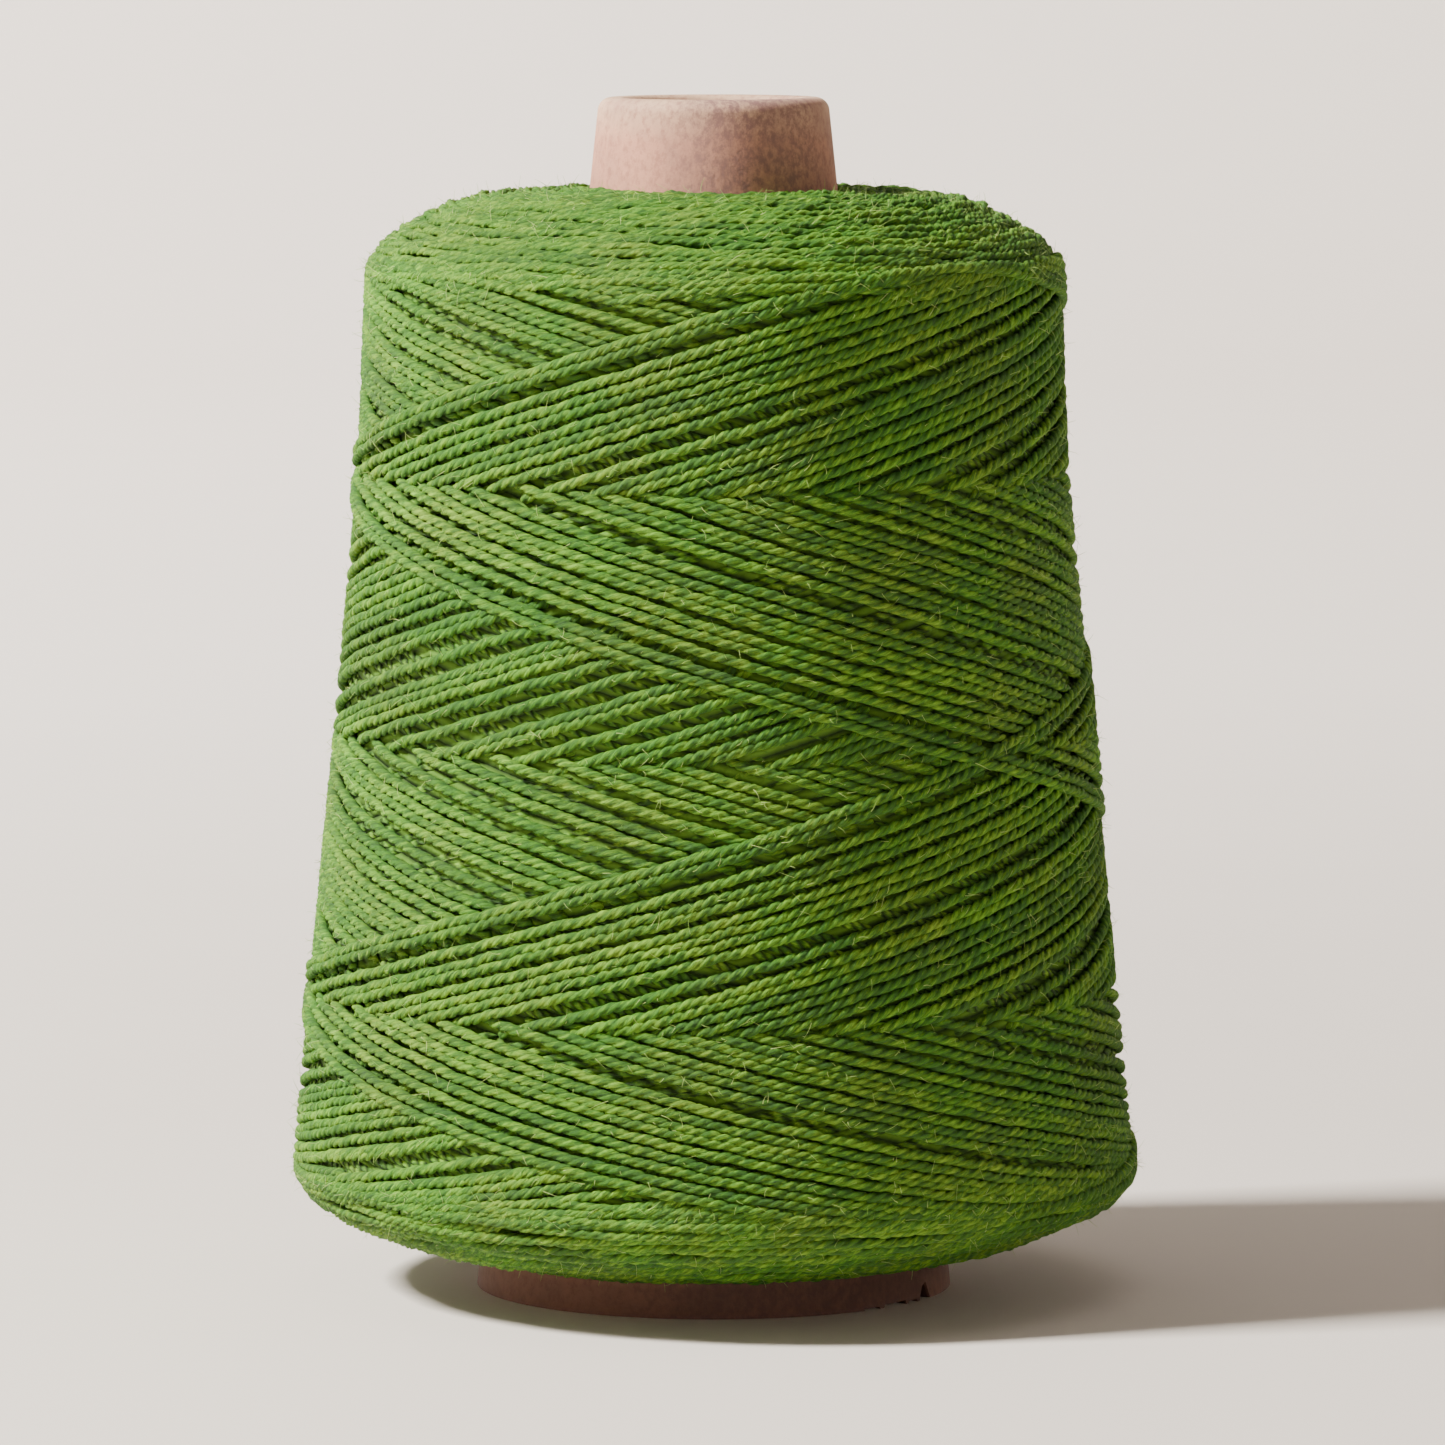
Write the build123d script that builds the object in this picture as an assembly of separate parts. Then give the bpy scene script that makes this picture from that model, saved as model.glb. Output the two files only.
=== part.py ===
"""A paper yarn cone wound with a thick twisted thread, standing on its wide end.

The frame: millimetres, +Z up along the cone's axis, origin at the centre of the base rim.
The core is a rolled paper cone of the common 5 degree 57 minute taper: a smooth liner ply, the
wound board, a coloured cover ply, and the board's end turned in to make a round nose. The thread
is wound over it in nested conical layers, and a jacket of the last passes closes the package.
"""

import math
import os

from build123d import *

# --- driving dimensions: the paper cone ---
cone_length = 175.0
taper_half_angle = 5.0 + 57.0 / 60.0  # degrees between the wall and the axis
base_radius = 35.0  # outside, at the base rim
liner_thickness = 0.5
board_thickness = 1.8
cover_thickness = 0.4
cover_end = 172.4  # the cover ply stops where the nose starts to round over
nose_bore_radius = 12.5  # inside the turned-in lip
nose_lip_end = 166.0  # how far down the turned-in lip reaches
nose_round_outer = 2.0
nose_round_inner = 1.2
lip_end_round = 0.5

# --- driving dimensions: the nick that catches the thread's tail, and the torn edge beside it ---
rim_bites = [  # direction in degrees from +X towards +Y, width at the rim, share left at the top, height
    (-28.0, 4.4, 0.3, 2.5),
    (-33.8, 3.0, 0.8, 0.4),
    (-41.0, 5.8, 0.9, 0.6),
    (-49.0, 4.0, 0.8, 0.3),
]

# --- driving dimensions: the thread package ---
thread_diameter = 1.5
jacket_depth = 3 * thread_diameter  # the last passes, three threads deep
package_bottom = 5.5  # where its lower face meets the core
package_top = 162.1  # where its upper face meets the core
lower_face_edge = (48.3, 8.7)  # (radius, height) of the lower face's outer corner
lower_shoulder = (62.5, 15.1)
flank_knee = (52.2, 121.0)  # below it the flank follows the core's taper, above it stands nearly upright
upper_shoulder = (50.95, 153.4)
upper_face_edge = (37.5, 160.9)
package_rounds = [6.7, 6.7, 300.0, 8.0, 25.0]  # at those five corners, from the bottom up
buried_layers = 8

taper = math.tan(math.radians(taper_half_angle))
wall_thickness = liner_thickness + board_thickness + cover_thickness


def cone_radius(height, depth=0.0):
    """The radius of the core's outer face at a height, or of the face that lies depth inside it."""
    return base_radius - depth - taper * height


def turned(profile):
    """The solid that a closed profile of (radius, height) points and arcs makes around the axis."""
    return revolve(profile, axis=Axis.Z, revolution_arc=360)


def face_of(points):
    """A flat face in the plane of the axis, from its (radius, height) corners."""
    return make_face(Plane.XZ * Polyline(*[(r, z) for r, z in points], close=True))


def ply(outer_depth, inner_depth, top):
    """One ply of the conical wall, between two depths below the core's outer face."""
    return turned(
        face_of(
            [
                (cone_radius(0, outer_depth), 0),
                (cone_radius(top, outer_depth), top),
                (cone_radius(top, inner_depth), top),
                (cone_radius(0, inner_depth), 0),
            ]
        )
    )


def rim_bite(direction, width, top_share, height):
    """One wedge that is missing from the base rim; the highest holds the thread's starting end."""
    top = top_share * width / 2
    outline = Polyline((-width / 2, -1), (width / 2, -1), (top, height), (-0.8 * top, 0.8 * height), close=True)
    across = Plane(origin=(0, 0, 0), x_dir=(0, 1, 0), z_dir=(1, 0, 0))
    wedge = extrude(make_face(across * outline), amount=base_radius + 1)
    return Rot(0, 0, direction) * wedge


def bitten(wall):
    """A ply of the wall without the pieces that are torn from its base rim."""
    for bite in rim_bites:
        wall = wall - rim_bite(*bite)
    return wall


def core_liner():
    """The smooth ply inside the cone, up to the turned-in lip."""
    depth = cover_thickness + board_thickness
    return bitten(ply(depth, wall_thickness, nose_lip_end))


def core_board():
    """The wound board that carries the load."""
    return bitten(ply(cover_thickness, cover_thickness + board_thickness, cover_end))


def core_cover():
    """The coloured paper glued round the outside."""
    return bitten(ply(0, cover_thickness, cover_end))


def core_nose():
    """The end of the board, turned in over itself: a rounded rim with a lip down inside the bore."""
    board_inside = cover_thickness + board_thickness
    corners = [
        (cone_radius(cover_end), cover_end),
        (cone_radius(cone_length), cone_length),
        (nose_bore_radius, cone_length),
        (nose_bore_radius, nose_lip_end),
        (cone_radius(nose_lip_end, board_inside), nose_lip_end),
        (cone_radius(cover_end, board_inside), cover_end),
    ]
    face = face_of(corners)
    rim = face.vertices().sort_by(Axis.Z)[-2:].sort_by(Axis.X)
    face = fillet(rim[1], nose_round_outer)
    face = fillet(face.vertices().sort_by(Axis.Z)[-2:].sort_by(Axis.X)[0], nose_round_inner)
    lip = face.vertices().sort_by(Axis.Z)[:2].sort_by(Axis.X)[0]
    return turned(fillet(lip, lip_end_round))


def package_outline(inset):
    """The package's (radius, height) face from the core outwards, with its skin taken off to a depth."""
    corners = [
        (cone_radius(package_bottom), package_bottom),
        lower_face_edge,
        lower_shoulder,
        flank_knee,
        upper_shoulder,
        upper_face_edge,
        (cone_radius(package_top), package_top),
    ]
    skin = Plane.XZ * FilletPolyline(*corners, radius=package_rounds)
    core_side = Plane.XZ * Line(corners[-1], corners[0])
    face = make_face(Curve() + [*skin.edges(), core_side.edge()])
    if inset:
        shifted = offset(face, amount=-inset, kind=Kind.INTERSECTION)
        face = shifted + Pos(-inset, 0, 0) * shifted
        face = face & make_face(Plane.XZ * core_band(0, 60))
    return face


def core_band(inner, outer):
    """A closed band of the half plane that lies between two distances outside the core's face."""
    low, high = -10, cone_length + 10
    return Polyline(
        (cone_radius(low) + inner, low), (cone_radius(low) + outer, low),
        (cone_radius(high) + outer, high), (cone_radius(high) + inner, high), close=True,
    )


def buried_layer(number):
    """One of the nested layers of thread under the jacket, counted from the core outwards."""
    depth = (lower_shoulder[0] - cone_radius(lower_shoulder[1]) - jacket_depth) / buried_layers
    outer = (number if number < buried_layers else number + 2) * depth
    band = make_face(Plane.XZ * core_band((number - 1) * depth, outer))
    return turned(package_outline(jacket_depth) & band)


def winding_jacket():
    """The last passes of thread, closing the flank and both end faces."""
    return turned(package_outline(0) - package_outline(jacket_depth))


def sub_parts():
    """Every separate piece, by the name of its node."""
    pieces = {
        "core_liner": core_liner(),
        "core_board": core_board(),
        "core_cover": core_cover(),
        "core_nose": core_nose(),
        "winding_jacket": winding_jacket(),
    }
    for number in range(1, buried_layers + 1):
        pieces[f"winding_layer_{number}"] = buried_layer(number)
    return pieces


os.makedirs("parts", exist_ok=True)
for name, shape in sub_parts().items():
    export_step(shape, f"parts/{name}.step")
    print(name, round(shape.volume), shape.bounding_box().size)
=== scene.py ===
import bpy
import bmesh
import math
import random
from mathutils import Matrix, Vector


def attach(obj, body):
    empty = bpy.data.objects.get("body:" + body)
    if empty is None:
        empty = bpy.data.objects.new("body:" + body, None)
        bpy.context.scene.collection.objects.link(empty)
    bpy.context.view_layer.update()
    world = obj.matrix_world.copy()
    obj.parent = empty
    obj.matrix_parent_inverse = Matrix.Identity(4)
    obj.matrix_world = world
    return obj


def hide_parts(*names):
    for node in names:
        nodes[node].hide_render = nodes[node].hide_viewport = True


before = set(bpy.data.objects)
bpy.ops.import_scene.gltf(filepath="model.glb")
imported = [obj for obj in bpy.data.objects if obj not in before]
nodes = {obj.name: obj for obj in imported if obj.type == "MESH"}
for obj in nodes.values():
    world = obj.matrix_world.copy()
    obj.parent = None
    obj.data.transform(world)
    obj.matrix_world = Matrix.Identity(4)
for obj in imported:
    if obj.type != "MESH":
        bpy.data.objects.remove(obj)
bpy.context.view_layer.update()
mm = 0.001
turn = 2 * math.pi

for leftover in ("Cube", "Light", "Camera"):
    if leftover in bpy.data.objects:
        bpy.data.objects.remove(bpy.data.objects[leftover])

# lengths are in mm, ways round the cone in turns, and ages in trips of the thread guide
yarn = {
    "thickness": 1.6,
    "twistLength": 5.8,      # one turn of its three plies
    "uneven": 0.04,          # how much thicker or thinner it gets
    "slubs": (3.1, 7.7, 17.0),
    "fineStep": 0.6,         # between the rings of a strand that shows
    "nestStep": 0.95,        # on the two end faces
    "coarseEvery": 3,        # covered strands keep one ring in so many
    "finePoints": 10500,     # most rings in one piece
    "coarsePoints": 15500,
    "seed": 11,
}
winding = {
    "lowPoint": 3.0,         # heights where the straight runs would meet
    "topPoint": 159.0,
    "lowRound": 0.17,        # how wide the thread turns back
    "topRound": 0.092,
    "trips": 38,             # trips up and down that cover the flank once
    # between trips, as shares of all trips up to which a gap is drawn from a range
    "gaps": ((0.48, 0.74, 0.84), (0.82, 0.95, 1.2), (1.0, 1.35, 1.7)),
    "bunching": 0.36,        # how much steeper the runs lie on the near side than the average
    "startAngle": -0.60,
    "edgeStray": 1.6,        # how far the turning points stray, trip by trip
    "sideStray": 0.1,        # how far a run wanders sideways
    "sideWaves": (5.0, 11.0, 23.0, 47.0),
    "stepDown": 0.42,        # from the newest pass to the oldest, in threads
    "underDown": 0.8,        # from a pass to the one that it crosses over, in threads
    "climb": 4.0,            # how sharply it climbs over the other
    "easing": 4,             # rings each way that smooth the climb
    "letIn": 10,             # rings that a run goes on under the one that covers it
    "proud": 0.05,           # how far the newest pass's middle lies outside the CAD outline
    "slope": 0.104,          # how much the flank leans in, for each mm of height
    "sag": 0.95,             # of the lowest passes below the CAD outline
    "sagHeights": (26, 14),  # from none to all of it, over the lower shoulder
    "sagFoot": (5.5, 9.5),   # from its least share to all of it, over the lower face
    "sagShare": 0.55,        # that least share
}
outlining = {
    "low": 5.8,              # heights between which the flank's outline is read
    "high": 161.8,
    "rows": 260,
    "beside": 200,           # how far out the readings start
    "over": 300,
    "shoulderRows": 20,      # over an end face: readings round its edge, and from there to the core
    "faceRows": 60,
}
rng = random.Random(yarn["seed"])
thread = yarn["thickness"]


def sagAt(z):
    # how far the passes round the lower shoulder and the lower face sag below the CAD outline
    top, full = winding["sagHeights"]
    foot, clear = winding["sagFoot"]
    below = min(max((top - z) / (top - full), 0), 1)
    above = min(max((z - foot) / (clear - foot), 0), 1)
    return winding["sag"] * below * (winding["sagShare"] + (1 - winding["sagShare"]) * above)


def outlineHit(start, towards):
    # a place on the package's outline, read from the CAD jacket, and the outward direction there
    hit, place, normal, face = nodes["winding_jacket"].ray_cast(Vector(start) * mm, Vector(towards))
    size = math.hypot(normal.x, normal.z)
    return place.x / mm, place.z / mm - sagAt(place.z / mm), normal.x / size, normal.z / size


rowHeight = (outlining["high"] - outlining["low"]) / outlining["rows"]
rowPlaces = [outlining["low"] + rowHeight * i for i in range(outlining["rows"] + 1)]
outline = [outlineHit((outlining["beside"], 0, z), (-1, 0, 0)) for z in rowPlaces]


def onOutline(z):
    # radius of the package at a height, and the outward direction there
    z += sagAt(z)
    n = (min(max(z, outlining["low"]), outlining["high"]) - outlining["low"]) / rowHeight
    i = min(int(n), outlining["rows"] - 1)
    f = n - i
    a, b = outline[i], outline[i + 1]
    return [a[j] * (1 - f) + b[j] * f for j in (0, 2, 3)]


def facePath(shoulder, side, inside):
    # points over an end face from the flank in to the core, and their distances
    low, high = shoulder
    rows, faceRows = outlining["shoulderRows"], outlining["faceRows"]
    heights = [low + (high - low) * i / rows for i in range(rows + 1)]
    path = [outlineHit((outlining["beside"], 0, z), (-1, 0, 0)) for z in heights]
    edge = path[-1][0]
    radii = [edge + (inside - edge) * i / faceRows for i in range(1, faceRows + 1)]
    path += [outlineHit((r, 0, side * outlining["over"]), (0, 0, -side)) for r in radii]
    reach = [0.0]
    for a, b in zip(path, path[1:]):
        reach.append(reach[-1] + math.hypot(b[0] - a[0], b[1] - a[1]))
    return path, reach


def onFace(face, distance):
    path, reach = face
    for i in range(len(path) - 1):
        if reach[i + 1] >= distance:
            f = (distance - reach[i]) / (reach[i + 1] - reach[i])
            return [a * (1 - f) + b * f for a, b in zip(path[i], path[i + 1])]
    return path[-1]


# height that the thread gains in each turn round the cone
lead = (winding["topPoint"] - winding["lowPoint"]) / 2


def angleAt(turns):
    # the way round for a count of turns, with the runs steeper on the near side
    even, bunching = turns * turn + winding["startAngle"], winding["bunching"]
    angle = even
    for attempt in range(9):  # each comes closer to the answer
        error = angle + bunching * math.cos(angle) - even
        angle -= error / (1 - bunching * math.sin(angle))
    return angle


def heightAt(way, lowStray, topStray):
    # height of the thread at a way from 0, low, through 2, high, back to 4, low
    q = way if way < 2 else 4 - way
    low = math.hypot(q, winding["lowRound"] + lowStray / lead)
    top = math.hypot(2 - q, winding["topRound"] + topStray / lead) - (2 - q)
    return winding["lowPoint"] + lead * (low - top), q


def tripOffsets():
    # how far each older trip lies round from the newest: many touch, some leave a gap
    gaps = []
    for trip in range(winding["trips"]):
        draw = rng.random()
        low, high = next(reach for share, *reach in winding["gaps"] if draw < share)
        gaps.append(rng.uniform(low, high))
    offsets = [0.0]
    for gap in gaps:
        offsets.append(offsets[-1] + gap / sum(gaps))
    return offsets


offsets = tripOffsets()


def ageAt(offset):
    # the age of the pass that lies at an offset round from the newest
    offset %= 1.0
    low, high = 0, len(offsets) - 1
    while high - low > 1:
        mid = (low + high) // 2
        if offsets[mid] <= offset:
            low = mid
        else:
            high = mid
    return low + (offset - offsets[low]) / (offsets[high] - offsets[low])


def wander(size, waves):
    # a smooth random drift along a run
    parts = []
    for wave in waves:
        height = size * rng.uniform(0.4, 1.0)
        length = wave * rng.uniform(0.8, 1.2)
        parts.append((height, turn / length, rng.uniform(0, turn)))
    return lambda s: sum(a * math.sin(k * s + p) for a, k, p in parts)


def placed(angle, r, z):
    return r * math.cos(angle) * mm, r * math.sin(angle) * mm, z * mm


def layTrip(age):
    # one trip of the guide, as (place, length so far, how clear it lies on top, thickness)
    lowStray = rng.uniform(0, winding["edgeStray"])
    topStray = rng.uniform(0, winding["edgeStray"])
    aside = wander(winding["sideStray"], winding["sideWaves"])
    fat = wander(yarn["uneven"], yarn["slubs"])
    rows, heights = [], []
    nudge = 0.002  # of a turn ahead, to measure how far a step goes
    way, s = 0.0, age * 1.7
    while way < 4:
        z, q = heightAt(way, lowStray, topStray)
        angle = angleAt(offsets[age] + way)
        r, nr, nz = onOutline(z)
        rising = way < 2
        other = ageAt(offsets[age] + (2 * q if rising else -2 * q))
        margin = other - age + (-0.5 if rising else 0.5)
        level = 0.5 + 0.5 * math.tanh(winding["climb"] * margin)
        down = winding["stepDown"] * (age + other) / winding["trips"]
        down += winding["underDown"] * (1 - level)
        rows.append((angle, z + aside(s), r, nr, nz, margin, s, fat(s)))
        heights.append(winding["proud"] - thread * down)
        ahead = heightAt(way + nudge, lowStray, topStray)[0]
        across = r * (angleAt(offsets[age] + way + nudge) - angle)
        way += yarn["fineStep"] * nudge / math.hypot(across, ahead - z)
        s += yarn["fineStep"]
    trip, easing = [], winding["easing"]
    for i, (angle, z, r, nr, nz, margin, s, fat) in enumerate(rows):
        near = heights[max(i - easing, 0):i + easing + 1]
        h = sum(near) / len(near)
        trip.append((placed(angle, r + nr * h, z + nz * h), s, margin, 1 + fat))
    return trip


def splitTrip(trip):
    # the runs that show, let in at each end, and the covered ones between them
    reach = winding["letIn"]
    shown = []
    for i in range(len(trip)):
        shown.append(any(p[2] > 0 for p in trip[max(i - reach, 0):i + reach + 1]))
    start = 0
    for i in range(1, len(trip) + 1):
        if i == len(trip) or shown[i] != shown[start]:
            yield shown[start], trip[start:i + 1]
            start = i


fineRuns, coarseRuns = [], []
for age in range(winding["trips"]):
    for shown, run in splitTrip(layTrip(age)):
        if shown:
            fineRuns.append(run)
        elif len(run) > 5:
            coarseRuns.append(run[::yarn["coarseEvery"]])
print("flank laid:", len(fineRuns), "runs on top,", len(coarseRuns), "covered")

# where the thread turned back in earlier layers: arcs nested over each end face
nests = {
    "top": {
        "shoulder": (149.5, 154.5),
        "side": 1,
        "inside": 18.3,      # radius where the face meets the core
        "arcs": 520,
        "reach": 0.07,       # half an arc's length
        "round": 0.092,
        "fat": 0.86,
        "down": -1,          # an arc leaves its turning point towards lower heights
    },
    "bottom": {
        "shoulder": (20.0, 10.5),
        "side": -1,
        "inside": 35.0,
        "arcs": 250,
        "reach": 0.078,
        "round": 0.17,
        "fat": 0.95,
        "down": 1,
    },
}
nesting = {
    "depth": (0.3, 0.7),     # of an arc's middle below the outline, in threads
    "tilt": 0.9,             # most of it, in threads
    "spread": 0.381966,      # of a turn from one arc to the next
    "spreadStray": 0.12,
    "lengths": (0.8, 1.25),
    "sideStray": 0.16,
    "sideWaves": (4.0, 9.0, 15.0),
    "uneven": 0.03,
    "slubs": (3.1, 7.7),
}
for nest in nests.values():
    nest["face"] = facePath(nest["shoulder"], nest["side"], nest["inside"])


def layArc(nest, order):
    span = nest["face"][1][-1]
    r, z, nr, nz = onFace(nest["face"], span * (order + rng.uniform(-0.2, 1.2)) / nest["arcs"])
    depth = thread * rng.uniform(*nesting["depth"])
    r, z = r - nr * depth, z - nz * depth
    stray = nesting["spreadStray"]
    middle = order * turn * nesting["spread"] + rng.uniform(-stray, stray)
    reach = nest["reach"] * rng.uniform(*nesting["lengths"])
    tilt = rng.uniform(-1, 1) * nesting["tilt"]
    aside = wander(nesting["sideStray"], nesting["sideWaves"])
    fat = wander(nesting["uneven"], nesting["slubs"])
    s0 = rng.uniform(0, 40)
    count = int(2 * reach * turn * r / yarn["nestStep"]) + 2
    arc = []
    for i in range(count):
        x = (2 * i / (count - 1) - 1) * reach
        s = i * yarn["nestStep"]
        drop = lead * (math.hypot(x, nest["round"]) - nest["round"]) + tilt * x / reach * thread * 0.5
        zz = z + nest["down"] * drop + aside(s) * abs(nz)
        rr = r - nest["down"] * winding["slope"] * drop + aside(s) * (1 - abs(nr))
        arc.append((placed(middle + x * turn, rr, zz), s0 + s, 1.0, nest["fat"] + fat(s)))
    return arc


nestRuns = {name: [layArc(nest, i) for i in range(nest["arcs"])] for name, nest in nests.items()}
print("end faces laid:", {name: len(runs) for name, runs in nestRuns.items()})

# points of the thread's section: degrees, share of its radius, and 1 at the bottom of a groove, where
# painted shade darkens the colour
plyShape = ((0, 0.6, 1.0), (34, 0.98, 0.0), (86, 0.98, 0.0))
plyPoints = [(a + k * 120, r, shadedGroove) for k in range(3) for a, r, shadedGroove in plyShape]
roundPoints = [(k * 60, 0.94, 0.0) for k in range(6)]


def threadSection(name, columns):
    curve = bpy.data.curves.new(name, "CURVE")
    spline = curve.splines.new("POLY")
    spline.points.add(len(columns) - 1)
    half = thread / 2 * mm
    for point, (angle, r, shadedGroove) in zip(spline.points, columns):
        way = math.radians(angle)
        point.co = (half * r * math.cos(way), half * r * math.sin(way), 0, 1)
    spline.use_cyclic_u = True
    return bpy.data.objects.new(name, curve)


plySection = threadSection("plySection", plyPoints)
roundSection = threadSection("roundSection", roundPoints)


def asPiece(name, mesh, material):
    piece = bpy.data.objects.new(name, mesh)
    mesh.name = name
    bpy.context.scene.collection.objects.link(piece)
    mesh.materials.clear()
    mesh.materials.append(material)
    mesh.shade_smooth()
    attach(piece, "root")
    return piece


def meshOf(curve):
    holder = bpy.data.objects.new("holder", curve)
    bpy.context.scene.collection.objects.link(holder)
    solid = holder.evaluated_get(bpy.context.evaluated_depsgraph_get())
    mesh = bpy.data.meshes.new_from_object(solid)
    bpy.data.objects.remove(holder)
    return mesh


def windThread(name, runs, section, columns, material, twisted=True):
    curve = bpy.data.curves.new(name, "CURVE")
    curve.dimensions = "3D"
    curve.twist_mode = "Z_UP"
    curve.bevel_mode = "OBJECT"
    curve.bevel_object = section
    for run in runs:
        spline = curve.splines.new("POLY")
        spline.points.add(len(run) - 1)
        spline.points.foreach_set("co", [v for place, s, top, fat in run for v in (*place, 1.0)])
        if twisted:
            spline.points.foreach_set("tilt", [-p[1] / yarn["twistLength"] * turn for p in run])
        spline.points.foreach_set("radius", [0.02, *(p[3] for p in run[1:-1]), 0.02])  # ends drawn in
    mesh = meshOf(curve)
    rounds = [(math.cos(math.radians(a)), math.sin(math.radians(a)), g) for a, r, g in columns]
    tones = [rng.random() for run in runs]
    lay, look = [], []
    for run, tone in zip(runs, tones):
        for place, s, top, fat in run:
            for x, y, shadedGroove in rounds:
                lay += (x, y, s)
                look += (shadedGroove, tone, 0.0)
    mesh.attributes.new("lay", "FLOAT_VECTOR", "POINT").data.foreach_set("vector", lay)
    mesh.attributes.new("look", "FLOAT_VECTOR", "POINT").data.foreach_set("vector", look)
    return asPiece(name, mesh, material)


def batches(runs, most):
    batch, count = [], 0
    for run in runs:
        if count + len(run) > most and batch:
            yield batch
            batch, count = [], 0
        batch.append(run)
        count += len(run)
    yield batch


def newGroup(name, inputs, outputs):
    group = bpy.data.node_groups.new(name, "ShaderNodeTree")
    for label, kind, value in inputs:
        socket = group.interface.new_socket(label, in_out="INPUT", socket_type=kind)
        socket.default_value = value
    for label, kind in outputs:
        group.interface.new_socket(label, in_out="OUTPUT", socket_type=kind)
    return group, group.nodes.new("NodeGroupInput").outputs, group.nodes.new("NodeGroupOutput").inputs


def put(tree, kind, values=None, **settings):
    node = tree.nodes.new(kind)
    for key, value in settings.items():
        setattr(node, key, value)
    for key, value in (values or {}).items():
        if isinstance(value, bpy.types.NodeSocket):
            tree.links.new(value, node.inputs[key])
        else:
            node.inputs[key].default_value = value
    return node


def maths(tree, operation, a, b=0.0, clamp=False):
    return put(tree, "ShaderNodeMath", {0: a, 1: b}, operation=operation, use_clamp=clamp).outputs[0]


def blendColour(tree, factor, a, b, how="MIX"):
    node = put(tree, "ShaderNodeMix", data_type="RGBA", blend_type=how)
    for socket, value in ((node.inputs[0], factor), (node.inputs[6], a), (node.inputs[7], b)):
        if isinstance(value, bpy.types.NodeSocket):
            tree.links.new(value, socket)
        else:
            socket.default_value = value
    return node.outputs[2]


def ramp(tree, factor, stops):
    node = put(tree, "ShaderNodeValToRGB", {0: factor})
    bar = node.color_ramp
    while len(bar.elements) < len(stops):
        bar.elements.new(0.5)
    for element, (place, value) in zip(bar.elements, stops):
        element.position = place
        element.color = (*value, 1) if isinstance(value, tuple) else (value, value, value, 1)
    return node.outputs[0]


def noise(tree, vector, scale, detail=2.0, roughness=0.5):
    values = {"Vector": vector, "Scale": scale, "Detail": detail, "Roughness": roughness}
    return put(tree, "ShaderNodeTexNoise", values).outputs["Fac"]


def scaled(tree, vector, shares):
    return put(tree, "ShaderNodeVectorMath", {0: vector, 1: shares}, operation="MULTIPLY").outputs[0]


def mapped(tree, value, low, high, start=0.0, end=1.0, kind="LINEAR"):
    values = {0: value, 1: low, 2: high, 3: start, 4: end}
    return put(tree, "ShaderNodeMapRange", values, interpolation_type=kind).outputs[0]


def objectPlace(tree):
    return put(tree, "ShaderNodeTexCoord").outputs["Object"]


def newMaterial(name, roughness, specular=0.5, sheen=0.0, sheenTint=(1, 1, 1)):
    material = bpy.data.materials.new(name)
    material.use_nodes = True
    tree = material.node_tree
    shader = tree.nodes["Principled BSDF"]
    shader.inputs["Roughness"].default_value = roughness
    shader.inputs["Specular IOR Level"].default_value = specular
    shader.inputs["Sheen Weight"].default_value = sheen
    shader.inputs["Sheen Roughness"].default_value = 0.5
    shader.inputs["Sheen Tint"].default_value = (*sheenTint, 1)
    return material, tree, shader


def spunFibre():
    # fine fibres that follow the plies, uneven patches, slower changes, and the grooves between plies
    group, given, out = newGroup(
        "spunFibre",
        [("Lay", "NodeSocketVector", (0, 0, 0)), ("Fineness", "NodeSocketFloat", 4.0)],
        [(label, "NodeSocketFloat") for label in ("Fibre", "Patch", "Slub", "Groove")],
    )
    parts = put(group, "ShaderNodeSeparateXYZ", {0: given["Lay"]}).outputs
    long = put(group, "ShaderNodeCombineXYZ", {2: maths(group, "MULTIPLY", parts[2], 0.09)}).outputs[0]
    fine = noise(group, scaled(group, given["Lay"], (1.0, 1.0, 0.35)), given["Fineness"], 4.0, 0.65)
    group.links.new(fine, out["Fibre"])
    group.links.new(noise(group, scaled(group, given["Lay"], (0.7, 0.7, 0.5)), 1.0, 2.0), out["Patch"])
    group.links.new(noise(group, long, 1.0, 2.0), out["Slub"])
    twist = maths(group, "MULTIPLY", parts[2], turn / yarn["twistLength"])
    around = maths(group, "ADD", maths(group, "ARCTAN2", parts[1], parts[0]), twist)
    wave = maths(group, "COSINE", maths(group, "MULTIPLY", around, 3.0))
    wave = maths(group, "ADD", maths(group, "MULTIPLY", wave, 0.5), 0.5)
    group.links.new(maths(group, "POWER", wave, 2.0), out["Groove"])
    return group


spunFibreGroup = spunFibre()


threadLook = {
    "greenThread": {
        "dark": (0.022, 0.071, 0.014),
        "mid": (0.052, 0.158, 0.011),
        "light": (0.205, 0.389, 0.028),
        "fineness": 3.2,     # of the fibres
        # painted shade: how much darker the colour is in the grooves between the plies
        "shadedGroove": 0.38,      # how much darker it is between the plies
    },
    # painted shade: the covered strands' plies are only coloured in, darker in the painted grooves,
    # with a bump
    "greenUnderThread": {    # strands that lie covered: their plies are only coloured in
        "dark": (0.025, 0.071, 0.014),
        "mid": (0.056, 0.155, 0.011),
        "light": (0.185, 0.345, 0.026),
        "fineness": 2.4,
        "shadedGroove": 0.7,
    },
    "clouds": 75.0,          # slow changes of hue over the whole package
    "hues": [(0.36, (1.1, 0.965, 1.1)), (0.64, (0.87, 1.03, 0.87))],
    "shares": (("Fibre", 0.33, 0.67, 0.4), ("Patch", 0.34, 0.66, 0.3), ("Slub", 0.3, 0.7, 0.15)),
    "runShare": 0.2,         # of the tone that differs from run to run
    "finish": (0.75, 0.25, 0.04, (0.5, 1.0, 0.2)),  # roughness, gloss, sheen and its tint
    "roughness": (0.6, 0.9),
    "bump": 0.0004,
}


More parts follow.
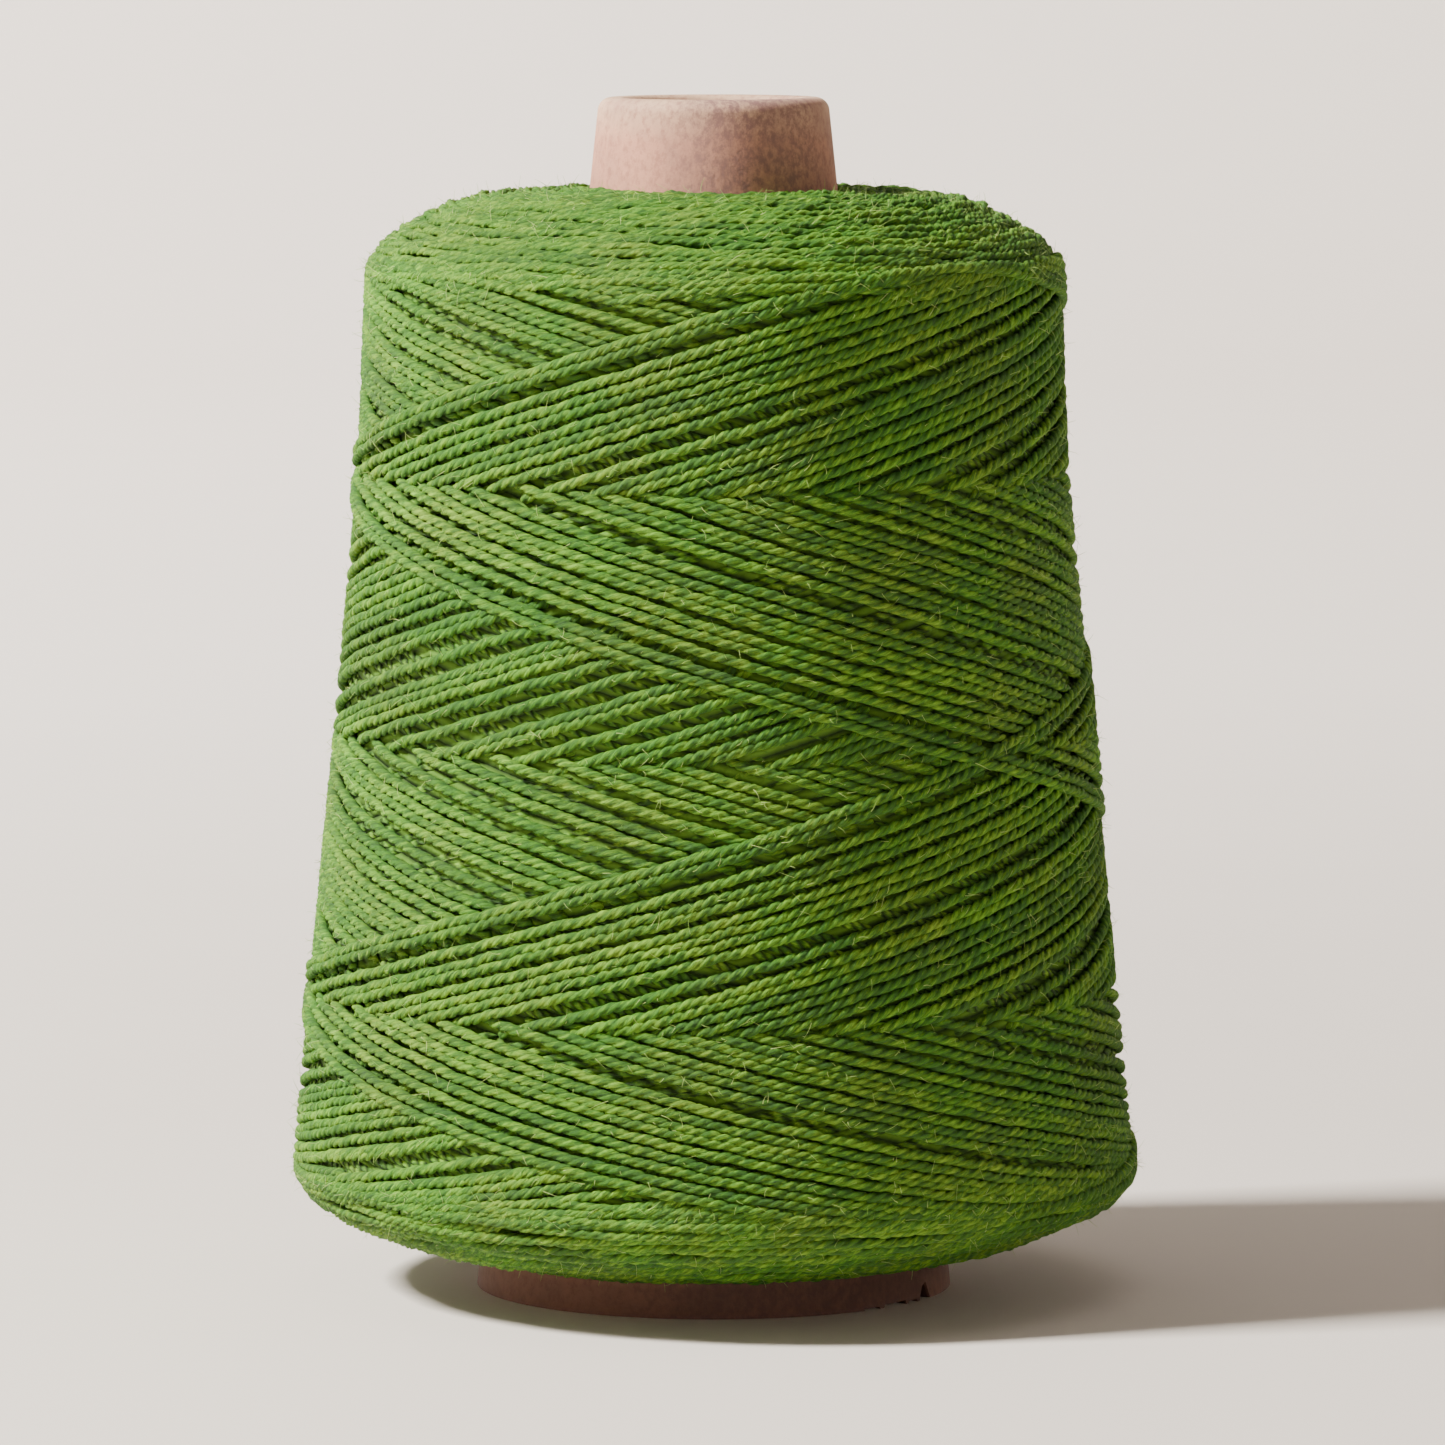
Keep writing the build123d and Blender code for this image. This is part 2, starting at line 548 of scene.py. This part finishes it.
def threadMaterial(name, painted=False):
    own = threadLook[name]
    material, tree, shader = newMaterial(name, *threadLook["finish"])
    lay = put(tree, "ShaderNodeAttribute", attribute_name="lay").outputs["Vector"]
    look = put(tree, "ShaderNodeAttribute", attribute_name="look").outputs["Vector"]
    look = put(tree, "ShaderNodeSeparateXYZ", {0: look})
    fibre = put(tree, "ShaderNodeGroup", node_tree=spunFibreGroup)
    tree.links.new(lay, fibre.inputs["Lay"])
    fibre.inputs["Fineness"].default_value = own["fineness"]
    tone = maths(tree, "MULTIPLY", look.outputs[1], threadLook["runShare"])
    for socket, low, high, share in threadLook["shares"]:
        part = mapped(tree, fibre.outputs[socket], low, high)
        tone = maths(tree, "ADD", tone, maths(tree, "MULTIPLY", part, share))
    colour = ramp(tree, tone, [(0.16, own["dark"]), (0.5, own["mid"]), (0.88, own["light"])])
    clouds = noise(tree, objectPlace(tree), threadLook["clouds"], 3.0)
    colour = blendColour(tree, 1.0, colour, ramp(tree, clouds, threadLook["hues"]), "MULTIPLY")
    # painted shade in the grooves between the plies
    shadedGroove = fibre.outputs["Groove"] if painted else look.outputs[0]
    grooveShadeFactor = maths(tree, "SUBTRACT", 1.0, maths(tree, "MULTIPLY", shadedGroove, own["shadedGroove"]))
    shade = put(tree, "ShaderNodeCombineXYZ", {0: grooveShadeFactor, 1: grooveShadeFactor, 2: grooveShadeFactor}).outputs[0]
    tree.links.new(blendColour(tree, 1.0, colour, shade, "MULTIPLY"), shader.inputs["Base Color"])
    rough = mapped(tree, fibre.outputs["Fibre"], 0.0, 1.0, *threadLook["roughness"])
    tree.links.new(rough, shader.inputs["Roughness"])
    height = fibre.outputs["Fibre"]
    if painted:
        height = maths(tree, "SUBTRACT", maths(tree, "MULTIPLY", height, 0.6), shadedGroove)
    values = {"Height": height, "Distance": threadLook["bump"], "Strength": 1.0}
    bump = put(tree, "ShaderNodeBump", values)
    tree.links.new(bump.outputs[0], shader.inputs["Normal"])
    return material


greenThread = threadMaterial("greenThread")
greenUnder = threadMaterial("greenUnderThread", True)

for i, batch in enumerate(batches(fineRuns, yarn["finePoints"])):
    windThread(f"flankThread_{i + 1}", batch, plySection, plyPoints, greenThread)
for i, batch in enumerate(batches(coarseRuns, yarn["coarsePoints"])):
    name = f"coveredThread_{i + 1}"
    windThread(name, batch, roundSection, roundPoints, greenUnder, False)
for face, runs in nestRuns.items():
    for i, batch in enumerate(batches(runs, yarn["finePoints"])):
        name = f"{face}NestThread_{i + 1}"
        windThread(name, batch, plySection, plyPoints, greenThread)
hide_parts("winding_jacket")

# what lies under the last passes: older layers, seen only through the gaps
heart = {
    "depth": 1.7,            # mm below the outline
    "rows": 60,
    "segments": 96,
    # painted shade: darker than the thread on top, and darkest where the rows of older strands dip
    "colours": [(0.2, (0.026, 0.052, 0.013)), (0.9, (0.085, 0.185, 0.022))],
    "rowShare": 0.75,
    "twistShare": 0.35,
    "bump": 0.0009,
}


def spun(bm, profile, steps):
    # turns a profile of (radius, height) in metres into a closed surface round the axis
    verts = [bm.verts.new((r, 0, z)) for r, z in profile]
    edges = [bm.edges.new(pair) for pair in zip(verts, verts[1:])]
    bmesh.ops.spin(
        bm, geom=verts + edges, axis=(0, 0, 1), cent=(0, 0, 0), steps=steps, angle=turn, use_merge=True
    )


def asMesh(bm, name):
    bmesh.ops.recalc_face_normals(bm, faces=bm.faces)
    # a spin leaves its faces in another order each time, so they are sorted by their corners
    bm.verts.index_update()
    most = len(bm.verts)
    bm.faces.sort(key=lambda f: min(v.index for v in f.verts) * most + max(v.index for v in f.verts))
    mesh = bpy.data.meshes.new(name)
    bm.to_mesh(mesh)
    bm.free()
    return mesh


def buildHeart():
    bm = bmesh.new()
    low, high = nests["bottom"]["shoulder"][0], nests["top"]["shoulder"][0]
    profile = list(reversed(nests["bottom"]["face"][0][::4]))
    for i in range(1, heart["rows"]):
        z = low + (high - low) * i / heart["rows"]
        r, nr, nz = onOutline(z)
        profile.append((r, z, nr, nz))
    profile += nests["top"]["face"][0][::4]
    depth = heart["depth"]
    profile = [((r - nr * depth) * mm, (z - nz * depth) * mm) for r, z, nr, nz in profile]
    spun(bm, profile, heart["segments"])
    return asMesh(bm, "packageHeart")


def olderPasses():
    # the passes of older layers, as rows of strands in both directions
    group, given, out = newGroup(
        "olderPasses",
        [
            ("Where", "NodeSocketVector", (0, 0, 0)),
            ("Trips", "NodeSocketFloat", float(winding["trips"])),
            ("Lead", "NodeSocketFloat", lead * mm),
        ],
        [("Height", "NodeSocketFloat"), ("Twist", "NodeSocketFloat")],
    )
    parts = put(group, "ShaderNodeSeparateXYZ", {0: given["Where"]}).outputs
    angle = maths(group, "ARCTAN2", parts[1], parts[0])
    bunching = maths(group, "MULTIPLY", maths(group, "COSINE", angle), winding["bunching"])
    turns = maths(group, "DIVIDE", maths(group, "ADD", angle, bunching), turn)
    rise = maths(group, "DIVIDE", parts[2], given["Lead"])
    rows = []
    for sign in ("SUBTRACT", "ADD"):
        count = maths(group, "MULTIPLY", maths(group, sign, rise, turns), given["Trips"])
        wave = maths(group, "SINE", maths(group, "MULTIPLY", count, math.pi))
        rows.append(maths(group, "ABSOLUTE", wave))
    over = mapped(group, noise(group, given["Where"], 70.0, 1.0), 0.47, 0.53)
    low = maths(group, "MULTIPLY", rows[0], maths(group, "SUBTRACT", 1.0, over))
    height = maths(group, "ADD", low, maths(group, "MULTIPLY", rows[1], over))
    group.links.new(height, out["Height"])
    group.links.new(noise(group, given["Where"], 900.0, 3.0), out["Twist"])
    return group


def heartMaterial():
    material, tree, shader = newMaterial("shadedOlderThread", 0.9, 0.15)
    rows = put(tree, "ShaderNodeGroup", node_tree=olderPasses())
    tree.links.new(objectPlace(tree), rows.inputs["Where"])
    # painted shade: the rows darken where they dip between strands
    row = maths(tree, "MULTIPLY", rows.outputs["Height"], heart["rowShare"])
    twist = maths(tree, "MULTIPLY", rows.outputs["Twist"], heart["twistShare"])
    mixed = maths(tree, "ADD", row, twist)
    tree.links.new(ramp(tree, mixed, heart["colours"]), shader.inputs["Base Color"])
    bump = put(tree, "ShaderNodeBump", {"Height": mixed, "Distance": heart["bump"]})
    tree.links.new(bump.outputs[0], shader.inputs["Normal"])
    return material


olderThread = heartMaterial()
asPiece("packageHeart", buildHeart(), olderThread)
for name, node in nodes.items():
    if name.startswith("winding_layer"):
        for slot in node.material_slots:
            slot.material = olderThread
print("older layers closed in")

# the paper core, as (low colour, high colour, dark colour, roughness) of each node; the high colour
# comes in towards the top rim, partly as a painted highlight
terracotta = ((0.49, 0.23, 0.15), (0.57, 0.39, 0.25), (0.31, 0.150, 0.112), 0.75)
paper = {
    "core_cover": ("terracottaCoverPaper", *terracotta),
    "core_nose": ("wornNosePaper", *terracotta),
    "core_board": ("brownBoard", (0.22, 0.11, 0.075), (0.30, 0.17, 0.12), (0.14, 0.07, 0.05), 0.85),
    "core_liner": ("linerPaper", (0.36, 0.21, 0.15), (0.42, 0.26, 0.19), (0.24, 0.13, 0.09), 0.8),
}
wearAndPaintedLight = {
    # paler paper and a painted highlight on the rounded top rim
    "rim": (0.1685, 0.1752),     # heights in metres between which the paper turns from low to high
    # painted shade at the foot of the core, under the overhanging thread
    "foot": (0.004, 0.014),      # heights between which the dark foot fades
    "footShadeShare": 0.72,
    "footShadeColour": (0.05, 0.024, 0.016, 1),
    # painted shade on the side of the core turned from the light
    "shadeSide": (0.42, -0.9075, 0.0),
    "shadeShare": 0.95,
    "patches": (0.42, 0.66, 0.0, 0.7),    # of the mottle: from, to, and how much of the dark colour
    "grains": (0.47, 0.66, 0.0, 0.6),
    "cloudScale": 95.0,
    "streakScale": 420.0,
    "grainScale": 900.0,
    "pulpScale": 1500.0,
}


def paperMottle():
    group, given, out = newGroup(
        "paperMottle",
        [("Where", "NodeSocketVector", (0, 0, 0)), ("Streak", "NodeSocketFloat", 0.25)],
        [("Cloud", "NodeSocketFloat"), ("Grain", "NodeSocketFloat"), ("Pulp", "NodeSocketFloat")],
    )
    where = given["Where"]
    streak = noise(group, scaled(group, where, (1.0, 1.0, 0.06)), wearAndPaintedLight["streakScale"])
    streaked = maths(group, "MULTIPLY", maths(group, "SUBTRACT", streak, 0.5), given["Streak"])
    cloud = noise(group, where, wearAndPaintedLight["cloudScale"], 5.0, 0.6)
    group.links.new(maths(group, "ADD", cloud, streaked), out["Cloud"])
    drawn = scaled(group, where, (1.0, 1.0, 0.75))
    group.links.new(noise(group, drawn, wearAndPaintedLight["grainScale"], 5.0, 0.75), out["Grain"])
    group.links.new(noise(group, where, wearAndPaintedLight["pulpScale"], 3.0, 0.7), out["Pulp"])
    return group


paperMottleGroup = paperMottle()


def shaded(colour, *shares):
    return (*(c * share for c, share in zip(colour, shares)), 1)


def paperMaterial(name, low, high, dark, roughness):
    material, tree, shader = newMaterial(name, roughness, 0.3)
    where = objectPlace(tree)
    mottle = put(tree, "ShaderNodeGroup", node_tree=paperMottleGroup)
    tree.links.new(where, mottle.inputs["Where"])
    mottle = mottle.outputs
    height = put(tree, "ShaderNodeSeparateXYZ", {0: where}).outputs[2]
    cloud = maths(tree, "MULTIPLY", maths(tree, "SUBTRACT", mottle["Cloud"], 0.5), 1.2)
    # paler towards the top rim: a painted highlight on the rounded edge, broken up by the mottle
    paleAndHighlit = maths(tree, "ADD", mapped(tree, height, *wearAndPaintedLight["rim"]), cloud, clamp=True)
    colour = blendColour(tree, paleAndHighlit, (*low, 1), (*high, 1))
    patchy = mapped(tree, mottle["Cloud"], *wearAndPaintedLight["patches"])
    colour = blendColour(tree, patchy, colour, (*dark, 1))
    grained = mapped(tree, mottle["Grain"], *wearAndPaintedLight["grains"])
    colour = blendColour(tree, grained, colour, shaded(dark, 0.8, 0.65, 0.65))
    # painted shade: browner and darker on the side turned from the light, broken up by the grain
    plan = {0: scaled(tree, where, (1.0, 1.0, 0.0))}
    plan = put(tree, "ShaderNodeVectorMath", plan, operation="NORMALIZE").outputs[0]
    faced = {0: plan, 1: wearAndPaintedLight["shadeSide"]}
    facing = put(tree, "ShaderNodeVectorMath", faced, operation="DOT_PRODUCT").outputs["Value"]
    paintedShade = mapped(tree, facing, 0.55, 1.0, 0.0, wearAndPaintedLight["shadeShare"], "SMOOTHSTEP")
    paintedShade = maths(tree, "MULTIPLY", paintedShade, mapped(tree, mottle["Grain"], 0.25, 0.6))
    colour = blendColour(tree, paintedShade, colour, shaded(dark, 0.64, 0.7, 0.85))
    # painted shade at the foot of the core
    foot = mapped(tree, height, *wearAndPaintedLight["foot"], wearAndPaintedLight["footShadeShare"], 0.0)
    colour = blendColour(tree, foot, colour, wearAndPaintedLight["footShadeColour"])
    tree.links.new(colour, shader.inputs["Base Color"])
    bump = put(tree, "ShaderNodeBump", {"Height": mottle["Pulp"], "Distance": 0.0001, "Strength": 0.6})
    tree.links.new(bump.outputs[0], shader.inputs["Normal"])
    return material


for name, look in paper.items():
    material = paperMaterial(*look)
    for slot in nodes[name].material_slots:
        slot.material = material
print("core papered")

# loose fibre ends that stand off the thread
fuzz = {
    "count": 8000,
    "length": (0.5, 2.4),
    "thickness": 0.04,
    "curl": 0.35,
    "seed": 5,
    "endFaces": (6, 154),    # heights below and above which they also lean off the end faces
    "colours": [(0.3, (0.16, 0.32, 0.03)), (0.7, (0.46, 0.58, 0.17))],
}


def buildFuzz():
    draw = random.Random(fuzz["seed"])
    runs = [run for run in fineRuns + nestRuns["top"] + nestRuns["bottom"] if len(run) > 8]
    weights = [len(run) for run in runs]
    faceLow, faceTop = fuzz["endFaces"]
    curve = bpy.data.curves.new("fuzz", "CURVE")
    curve.dimensions = "3D"
    curve.bevel_depth = fuzz["thickness"] * mm
    curve.bevel_resolution = 0
    for run in draw.choices(runs, weights, k=fuzz["count"]):
        i = draw.randrange(2, len(run) - 3)
        at = Vector(run[i][0])
        ahead = (Vector(run[i + 1][0]) - at).normalized()
        out = Vector((at.x, at.y, 0)).normalized()
        if at.z > faceTop * mm:
            out = (out + Vector((0, 0, 1))).normalized()
        elif at.z < faceLow * mm:
            out = (out - Vector((0, 0, 1))).normalized()
        side = ahead.cross(out)
        start = at + (out * 0.8 + side * draw.uniform(-0.6, 0.6)) * thread / 2 * mm
        heading = out * draw.uniform(0.15, 0.9) + ahead * draw.uniform(-1, 1)
        heading = (heading + side * draw.uniform(-0.8, 0.8)).normalized()
        bend = ahead * draw.uniform(-1, 1) + side * draw.uniform(-1, 1) - out * 0.3
        bend *= fuzz["curl"]
        length = draw.uniform(*fuzz["length"]) * mm
        spline = curve.splines.new("POLY")
        spline.points.add(3)
        for j, point in enumerate(spline.points):
            way = j / 3
            place = start + (heading * way + bend * way * way) * length
            point.co = (*place, 1)
            point.radius = 1 - 0.7 * way
    return meshOf(curve)


def fuzzMaterial():
    material, tree, shader = newMaterial("looseFibre", 0.6, 0.4)
    tint = noise(tree, objectPlace(tree), 300.0)
    tree.links.new(ramp(tree, tint, fuzz["colours"]), shader.inputs["Base Color"])
    return material


asPiece("looseFibres", buildFuzz(), fuzzMaterial())
print("fibres grown")

view = {  # metres, degrees, and the lens in mm
    "away": 1.331,
    "height": 0.212,
    "aside": 0.0013,
    "down": 5.53,
    "lens": 226.36,
}
camera = bpy.data.objects.new("camera", bpy.data.cameras.new("camera"))
bpy.context.scene.collection.objects.link(camera)
camera.data.lens = view["lens"]
camera.location = (view["aside"], -view["away"], view["height"])
camera.rotation_euler = (math.radians(90 - view["down"]), 0, 0)
bpy.context.scene.camera = camera

lighting = {  # where from, where to, width, power, colour
    "key": ((-1.165, -0.32, 1.18), (0, 0, 0.08), 0.26, 105, (1.0, 0.98, 0.93)),
    "fill": ((0.9, -1.6, 0.9), (0, 0, 0.08), 1.4, 0.6, (1.0, 0.93, 0.9)),
    "wall": ((-0.9, 1.6, 1.8), (-0.9, 3.6, 0.04), 1.4, 84, (1.0, 0.96, 0.92)),
    "side": ((-1.7, 0.2, 1.7), (-3.4, 0.2, 0.3), 1.2, 45, (1.0, 0.95, 0.9)),
    "above": ((0.3, 0.3, 2.2), (0, 0, 0), 1.6, 8, (1.0, 0.93, 0.88)),
}
worldLight = {"colour": (1.0, 0.86, 0.80, 1), "strength": 0.18}


def addLight(name, start, end, width, power, colour):
    data = bpy.data.lights.new(name, "AREA")
    data.energy = power
    data.size = width
    data.color = colour
    light = bpy.data.objects.new(name, data)
    light.location = start
    light.rotation_euler = (Vector(end) - Vector(start)).to_track_quat("-Z", "Y").to_euler()
    bpy.context.scene.collection.objects.link(light)


for name, values in lighting.items():
    addLight(name, *values)
world = bpy.data.worlds.new("studio")
world.use_nodes = True
world.node_tree.nodes["Background"].inputs[0].default_value = worldLight["colour"]
world.node_tree.nodes["Background"].inputs[1].default_value = worldLight["strength"]
bpy.context.scene.world = world

sweep = {
    "flat": 2.3,             # radius of the flat floor
    "round": 0.9,            # radius of the curve up to the wall
    "rise": 0.5,
    "steps": 96,
    # painted light: the floor darker near the package, paler far off and up the wall
    "near": (0.645, 0.585, 0.53, 1),
    "far": (0.93, 0.865, 0.80, 1),
    "reach": (0.15, 1.1),    # distances between which near turns to far
}


def buildSweep():
    # a round pale floor that curves up into a low wall on every side
    bm = bmesh.new()
    profile = [(0, 0), (sweep["flat"] / 2, 0), (sweep["flat"], 0)]
    flat, bend = sweep["flat"], sweep["round"]
    for i in range(1, 13):
        a = math.radians(90 * i / 12)
        profile.append((flat + bend * math.sin(a), bend * (1 - math.cos(a))))
    profile.append((flat + bend, bend + sweep["rise"]))
    spun(bm, profile, sweep["steps"])
    bmesh.ops.remove_doubles(bm, verts=bm.verts, dist=0.0001)
    return asMesh(bm, "backdrop")


backdrop = bpy.data.objects.new("backdrop", buildSweep())
bpy.context.scene.collection.objects.link(backdrop)
backdrop.data.shade_smooth()
floorPaper, tree, shader = newMaterial("backdropPaper", 0.9, 0.2)
where = objectPlace(tree)
away = put(tree, "ShaderNodeVectorMath", {0: where}, operation="LENGTH").outputs["Value"]
# painted light: paler with distance from the package
paintedLightFurther = mapped(tree, away, *sweep["reach"], kind="SMOOTHSTEP")
uneven = maths(tree, "MULTIPLY", maths(tree, "SUBTRACT", noise(tree, where, 9.0, 3.0), 0.5), 0.12)
soft = maths(tree, "ADD", paintedLightFurther, uneven)
tree.links.new(blendColour(tree, soft, sweep["near"], sweep["far"]), shader.inputs["Base Color"])
backdrop.data.materials.append(floorPaper)
print("stage set")
